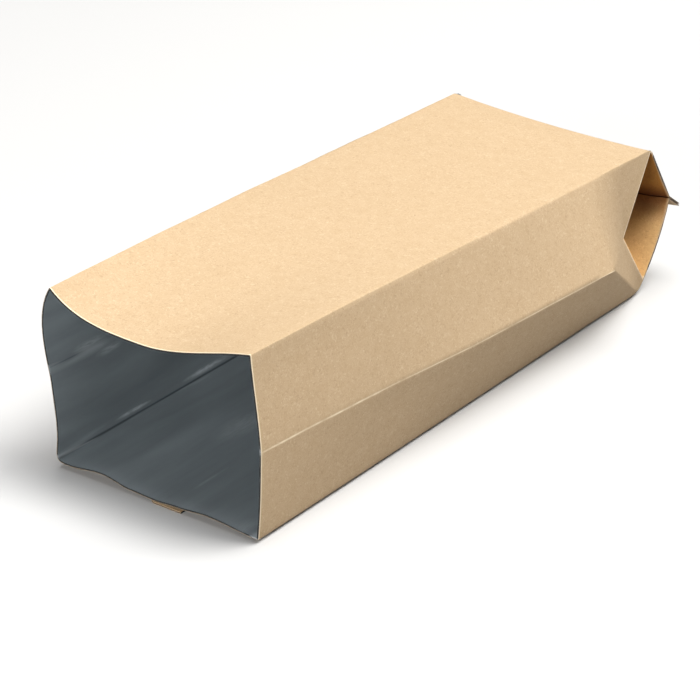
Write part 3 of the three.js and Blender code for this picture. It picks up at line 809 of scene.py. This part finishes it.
def film_material(name, dark, light, rough):
    """Barrier film: streaks along the web, painted shade as a dark groove in each fold, and painted
    highlights: pale patches beside the folds and the listed glints, broken up into fine strands."""
    material, tree, shader = new_material(name)
    place = node(tree, "ShaderNodeUVMap", uv_map="flat_web").outputs[0]

    def drawn_out(across, along, turn=0.0):
        drawn = {"Vector": place, "Scale": (across, along, 1.0), "Rotation": (0.0, 0.0, turn)}
        return node(tree, "ShaderNodeMapping", drawn).outputs[0]

    streaks = clouded(tree, drawn_out(120.0, 16.0), 1.0, 4.0, 0.55, 0.3)
    colour = tinted(tree, ranged(tree, streaks, 0.3, 0.75), dark, light)
    folds = stored(tree, "fold_nearness")
    # Painted shade: a dark line along each fold of the film
    groove = ranged(tree, folds, FILM_REACH - 0.7, FILM_REACH - 0.15, 0.0, 0.7)
    colour = tinted(tree, groove, colour, GROOVE_SHADE)
    # Painted highlights: pale glints beside the folds, and the listed ones
    beside = ranged(tree, folds, FILM_REACH - 3.2, FILM_REACH - 1.2)
    patchy = clouded(tree, drawn_out(210.0, 26.0, 0.06), 1.0, 2.0, 0.5, 0.5)
    glints = counted(tree, "MULTIPLY", beside, ranged(tree, patchy, 0.52, 0.64, 0.0, 0.45))
    strands = ranged(tree, clouded(tree, drawn_out(1500.0, 240.0), 1.0, 3.0), 0.36, 0.58, 0.35)
    for across, first, last, half_width, strength in PAINTED_GLINTS:
        centre = (across * 0.001, (first + last) * 0.0005, 0.0)
        size = (half_width * 0.001, (last - first) * 0.0005, 1.0)
        spot = node(tree, "ShaderNodeMapping", {"Vector": place, "Location": centre,
                                                "Scale": size}, vector_type="TEXTURE")
        away = node(tree, "ShaderNodeVectorMath", {0: spot.outputs[0]}, operation="LENGTH")
        glint = ranged(tree, away.outputs["Value"], 1.0, 0.3, 0.0, strength)
        glints = counted(tree, "MAXIMUM", glints, counted(tree, "MULTIPLY", glint, strands))
    tree.links.new(tinted(tree, glints, colour, GLINT_GREY), shader.inputs["Base Color"])
    tree.links.new(raised(tree, streaks, 0.5, 0.0006), shader.inputs["Normal"])
    shader.inputs["Roughness"].default_value = rough
    return material


def film_folds():
    """The lines along which the film is folded: the long folds at the back, and the gusset
    creases, which are softer."""
    return [(fold_line(across, 0, CREASE_END_Y, FILM_DEPTH), added)
            for across, added in ((RIGHT_BACK_FLAT, 0.0), (RIGHT_BACK_FLAT + GUSSET_HALF, 0.35),
                                  (LEFT_FRONT_FLAT + GUSSET_HALF, 0.35), (LEFT_BACK_FLAT, 0.0))]


film = film_material("barrier_film", (0.20, 0.230, 0.248, 1), (0.285, 0.325, 0.347, 1), 0.45)
film_cut = film_material("film_cut_edge", (0.010, 0.012, 0.013, 1), (0.016, 0.018, 0.020, 1),
                         0.75)
LAYER_GAP = 0.02
film_lining = add_to_scene("film_lining", layer_mesh("film_lining", KRAFT_DEPTH + LAYER_GAP,
                                                     FILM_DEPTH))
store_values(film_lining, "fold_nearness", nearness(web_points - inwards * FILM_DEPTH,
                                                    film_folds(), FILM_REACH))
film_lining.data.materials.append(film)
film_lining.data.materials.append(film_cut)
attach(film_lining, "root")
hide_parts("lining")

# -----------------------------------------------------------------------------
# Back seal. The web's two long edges are sealed film to film, and the seam is folded flat under
# the back panel: paper outside, with a dark line of film in its cut edges and painted shade on
# the paper's free edges. The bag lies on it, and at the bottom it follows the back flap into the
# seal.
# -----------------------------------------------------------------------------
SEAM_FREE_X, SEAM_THICK, SEAM_LIFT_Y = 10.0, 0.64, 184.0
SEAM_GAP, ROOT_INSIDE, SEAM_WAVE = 0.06, 0.12, 0.10
# From the seam's root in the panel to its free edge: x, and how far it has turned over
SEAM_PROFILE = [(-1.15, 0.0), (-1.2, 0.35), (-1.15, 0.65), (-0.9, 0.86), (-0.45, 0.97), (0.1, 1.0)]
SEAM_PROFILE += [(x, 1.0) for x in (0.8, 2.0, 3.5, 5.0, 6.5, 8.0, 9.2, 9.8)]


def back_seal_middle(extra):
    """The seam's middle surface, longer by extra at the mouth and wider by it at the free edge."""
    rows = []
    for y in [stations[0] - extra] + [y for y in stations if 1 < y < TIP_Y - 0.5] + [TIP_Y - 0.35]:
        at = max(0.0, y)
        steep = math.atan(slope_of(back_edge, min(at, TIP_Y - 0.3)))
        flat = 1 - smooth(share(at, SEAM_LIFT_Y, BACK_FOLD_Y))
        row = []
        for x, turned in SEAM_PROFILE + [(SEAM_FREE_X + extra, 1.0)]:
            panel = mix(back_edge(at) + back_arch(x, at), back_cut(x), mouth_pull(at))
            out = (SEAM_THICK / 2 + SEAM_GAP) * turned
            wave = SEAM_WAVE * noise.noise(Vector((x * 0.05, at * 0.03, 4.0))) * share(x, 2, 9)
            lie = mix(panel - math.cos(steep) * out, SEAM_THICK / 2 + abs(wave), flat)
            z = mix(panel + ROOT_INSIDE, lie, turned)
            row.append(bend_seal(x, y + math.sin(steep) * out * (1 - flat), z))
        rows.append(row)
    return np.array(rows)


def leaf_mesh(name, middle, low, high):
    """A closed thin sheet between two distances from a middle surface."""
    along, across = np.gradient(middle, axis=0), np.gradient(middle, axis=1)
    normal = np.cross(across, along)
    normal /= np.linalg.norm(normal, axis=2, keepdims=True)
    points = np.concatenate([(middle + normal * at).reshape(-1, 3) for at in (low, high)])
    rows, columns = middle.shape[:2]
    count = rows * columns
    grid = np.arange(count).reshape(rows, columns)
    faces = []
    for r in range(rows - 1):
        for c in range(columns - 1):
            quad = [grid[r, c], grid[r + 1, c], grid[r + 1, c + 1], grid[r, c + 1]]
            faces += [quad, [corner + count for corner in quad[::-1]]]
    rim = [*grid[0], *grid[1:, -1], *grid[-1, -2::-1], *grid[-2:0:-1, 0]]
    for a, b in zip(rim, rim[1:] + rim[:1]):
        faces.append([a, b, b + count, a + count])
    mesh = mesh_in_frame(name, points, faces)
    mesh.shade_smooth()
    mesh.set_sharp_from_angle(angle=math.radians(50))
    return mesh


def seam_piece(name, extra, low, high, material):
    """One layer of the seam, with the film's near black cut finish on its free edge; on the paper
    leaves this edge is painted shade of the gap under the seam as well as the film's edge.
    """
    piece = add_to_scene(name, leaf_mesh(name, back_seal_middle(extra), low, high))
    piece.data.materials.append(material)
    piece.data.materials.append(film_cut)
    # Painted shade, together with the film's dark edge: the near black finish on the free edge
    for polygon in piece.data.polygons:
        if polygon.center.x * 1000 > SEAM_FREE_X - 0.05:
            polygon.material_index = 1
    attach(piece, "root")
    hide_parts("kraft_shell")


seam_piece("back_seal_under_leaf", 0.0, -SEAM_THICK / 2, -0.10, kraft)
seam_piece("back_seal_upper_leaf", 0.0, 0.10, SEAM_THICK / 2, kraft)
seam_piece("back_seal_film", 0.15, -0.09, 0.09, film_cut)

# -----------------------------------------------------------------------------
# Cross seal ribs. Hot jaws press the bottom end shut and leave fine ribs across the band, on both
# its faces. One bent rib is repeated down the band.
# -----------------------------------------------------------------------------
RIB_COUNT, RIB_HALF_WIDTH, RIB_HEIGHT, RIB_ROOT = 7, 0.27, 0.13, 0.08
RIB_END_X, RIB_TAPER = 38.8, 0.8
BAND_STEP = np.array([0.0, TIP_Y - SEAL_Y, TIP_Z - SEAL_Z]) / (RIB_COUNT + 1)
BAND_UP = np.array([0.0, -BAND_STEP[2], BAND_STEP[1]]) / np.linalg.norm(BAND_STEP)
BAND_ALONG = BAND_STEP / np.linalg.norm(BAND_STEP)


def bent_rib():
    """One rib over and one under the band, following its shallow curve from side to side."""
    crown = [(0.0, RIB_HEIGHT), (0.6 * RIB_HALF_WIDTH, 0.8 * RIB_HEIGHT), (RIB_HALF_WIDTH, 0.0),
             (RIB_HALF_WIDTH, -RIB_ROOT)]
    section = [(-along, out) for along, out in crown[:0:-1]] + crown
    steps = np.linspace(-RIB_END_X, RIB_END_X, 41)
    half = SEAL_THICK / 2 * BAND_UP[2]
    points, faces = [], []
    for face in (1, -1):
        start, size = len(points), len(section)
        for x in steps:
            taper = min(1.0, (RIB_END_X - abs(x)) / RIB_TAPER + 0.25)
            middle = bend_seal(x, SEAL_Y, SEAL_Z)
            for along, out in section:
                points.append(middle + BAND_ALONG * along + BAND_UP * face * (half + out * taper))
        rings = np.arange(start, len(points)).reshape(len(steps), size)
        skin = [[a[j], a[(j + 1) % size], b[(j + 1) % size], b[j]]
                for a, b in zip(rings, rings[1:]) for j in range(size)]
        skin += [rings[0][::-1], rings[-1]]
        faces += [loop[::-1] for loop in skin] if face > 0 else skin
    return mesh_in_frame("bent_rib", points, faces)


def rib_rows_tree():
    """Repeats the rib along the band."""
    tree = bpy.data.node_groups.new("seal_rib_rows", "GeometryNodeTree")
    face = tree.interface
    for name, kind in (("Rib", "Geometry"), ("Ribs", "Int"), ("First rib", "Vector"),
                       ("Rib spacing", "Vector"), ("Finish", "Material")):
        face.new_socket(name, in_out="INPUT", socket_type="NodeSocket" + kind)
    face.new_socket("Ribbed band", in_out="OUTPUT", socket_type="NodeSocketGeometry")
    inside, out = tree.nodes.new("NodeGroupInput"), tree.nodes.new("NodeGroupOutput")
    line = node(tree, "GeometryNodeMeshLine", {"Count": inside.outputs["Ribs"],
                                               "Start Location": inside.outputs["First rib"],
                                               "Offset": inside.outputs["Rib spacing"]})
    placed = node(tree, "GeometryNodeInstanceOnPoints", {"Points": line.outputs[0],
                                                         "Instance": inside.outputs["Rib"]})
    real = node(tree, "GeometryNodeRealizeInstances", {"Geometry": placed.outputs[0]})
    done = node(tree, "GeometryNodeSetMaterial", {"Geometry": real.outputs[0],
                                                  "Material": inside.outputs["Finish"]})
    tree.links.new(done.outputs[0], out.inputs["Ribbed band"])
    return tree


one_rib = add_to_scene("one_rib", bent_rib())
rib_rows = one_rib.modifiers.new("rows", "NODES")
rib_rows.node_group = rib_rows_tree()
rib_sockets = {item.name: item.identifier for item in rib_rows.node_group.interface.items_tree
               if item.item_type == "SOCKET"}
rib_rows[rib_sockets["Ribs"]] = RIB_COUNT
rib_rows[rib_sockets["First rib"]] = tuple(BAND_STEP * 0.001)
rib_rows[rib_sockets["Rib spacing"]] = tuple(BAND_STEP * 0.001)
rib_rows[rib_sockets["Finish"]] = kraft
repeated = one_rib.evaluated_get(bpy.context.evaluated_depsgraph_get())
seal_ribs = add_to_scene("seal_ribs", bpy.data.meshes.new_from_object(repeated))
bpy.data.objects.remove(one_rib)
seal_ribs.data.name = "seal_ribs"
seal_ribs.data.shade_smooth()
seal_ribs.data.set_sharp_from_angle(angle=math.radians(60))
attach(seal_ribs, "root")
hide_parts("kraft_shell")

# -----------------------------------------------------------------------------
# Floor, light and camera. A plain white sweep under soft lamps, seen from the mouth's +x side
# and a little above, through a long lens. The sweep and the sky look whiter to the camera than
# in the light that they throw on the bag, so that its underside stays in shade.
# -----------------------------------------------------------------------------
SWEEP_SEEN, SWEEP_BOUNCE = (0.52, 0.52, 0.52, 1), (0.35, 0.35, 0.35, 1)
GLOW_FROM, GLOW_FULL = 0.4, 4.0
SKY_SEEN, SKY_LIGHT, SKY_TINT = 1.0, 0.11, (1, 0.985, 0.96, 1)

floor_mesh = bpy.data.meshes.new("floor")
floor_mesh.from_pydata([(-6, -6, 0), (6, -6, 0), (6, 9, 0), (-6, 9, 0)], [], [(0, 1, 2, 3)])
floor = add_to_scene("floor", floor_mesh)
sweep, sweep_tree, sweep_shader = new_material("white_sweep")
seen = node(sweep_tree, "ShaderNodeLightPath").outputs["Is Camera Ray"]
spot = node(sweep_tree, "ShaderNodeTexCoord").outputs["Object"]
away = node(sweep_tree, "ShaderNodeVectorMath", {0: spot}, operation="LENGTH").outputs["Value"]
far_glow = counted(sweep_tree, "MULTIPLY", ranged(sweep_tree, away, GLOW_FROM, GLOW_FULL), seen)
sweep_colour = tinted(sweep_tree, seen, SWEEP_BOUNCE, SWEEP_SEEN)
sweep_tree.links.new(sweep_colour, sweep_shader.inputs["Base Color"])
sweep_tree.links.new(far_glow, sweep_shader.inputs["Emission Strength"])
sweep_shader.inputs["Emission Color"].default_value = (1, 1, 1, 1)
sweep_shader.inputs["Roughness"].default_value = 0.9
floor_mesh.materials.append(sweep)


def soft_lamp(name, place, aim, size, power, colour=(1, 1, 1)):
    """A square lamp of a size in metres and a power in watts, turned to a point."""
    lamp = add_to_scene(name, bpy.data.lights.new(name, "AREA"))
    lamp.data.shape = "SQUARE"
    lamp.data.size = size
    lamp.data.energy = power
    lamp.data.color = colour
    lamp.location = place
    lamp.rotation_mode = "QUATERNION"
    lamp.rotation_quaternion = (Vector(aim) - Vector(place)).to_track_quat("-Z", "Y")
    return lamp


soft_lamp("lamp_above", (-0.1, 0.35, 3.0), (0, 0, 0), 1.6, 67.0)
soft_lamp("lamp_right", (0.65, 0.40, 1.6), (0, 0, 0), 0.8, 41.0, (1.0, 0.985, 0.955))
lamp_front = soft_lamp("lamp_front", (0.24, -1.24, 0.36), (0, -0.05, 0.02), 0.5, 13.5)
lamp_front.visible_camera = False

world = bpy.data.worlds.new("studio")
world.use_nodes = True
sky = world.node_tree.nodes["Background"]
sky.inputs["Color"].default_value = SKY_TINT
sky_seen = node(world.node_tree, "ShaderNodeLightPath").outputs["Is Camera Ray"]
sky_strength = ranged(world.node_tree, sky_seen, 0.0, 1.0, SKY_LIGHT, SKY_SEEN)
world.node_tree.links.new(sky_strength, sky.inputs["Strength"])
bpy.context.scene.world = world
bpy.context.scene.view_settings.view_transform = "Standard"

camera = add_to_scene("camera", bpy.data.cameras.new("camera"))
bpy.context.scene.camera = camera
azimuth, elevation, distance = math.radians(36.7), math.radians(26.8), 0.944
looked_at = Vector((0.0136, -0.03775, 0.0238))
back = Vector((math.sin(azimuth) * math.cos(elevation), -math.cos(azimuth) * math.cos(elevation),
               math.sin(elevation)))
camera.location = looked_at + back * distance
camera.rotation_mode = "QUATERNION"
camera.rotation_quaternion = (-back).to_track_quat("-Z", "Y")
camera.data.lens = 154.3
camera.data.sensor_width = 36.0
